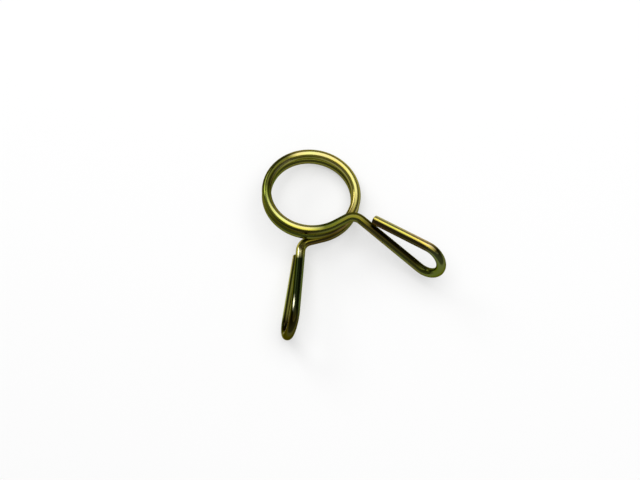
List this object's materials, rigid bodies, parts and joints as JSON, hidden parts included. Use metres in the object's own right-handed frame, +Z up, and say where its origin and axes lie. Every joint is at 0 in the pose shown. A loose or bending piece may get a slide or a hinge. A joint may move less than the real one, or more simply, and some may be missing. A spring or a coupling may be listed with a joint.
{
  "type": "spring-wire tubing clamp",
  "caption": "Self-closing tubing clamp bent from round spring wire: a close-wound coil that grips the tube, with a folded wire ear at each end to pinch it open.",
  "frame": {"origin": "on the table, under the middle of the clamp's box as it lies at rest", "axes": "+Z up from the table; the ears point towards -Y, the upper ear on the +X side and the lower one on the -X side; the coil's axis leans 11.6 degrees from +Z"},
  "size_m": [0.0254, 0.0272, 0.0073],
  "materials": {
    "plated_wire": "spring steel, bright zinc plate with a yellow chromate film"
  },
  "bodies": {
    "root": {"spring_wire": "plated_wire"}
  },
  "joints": []
}
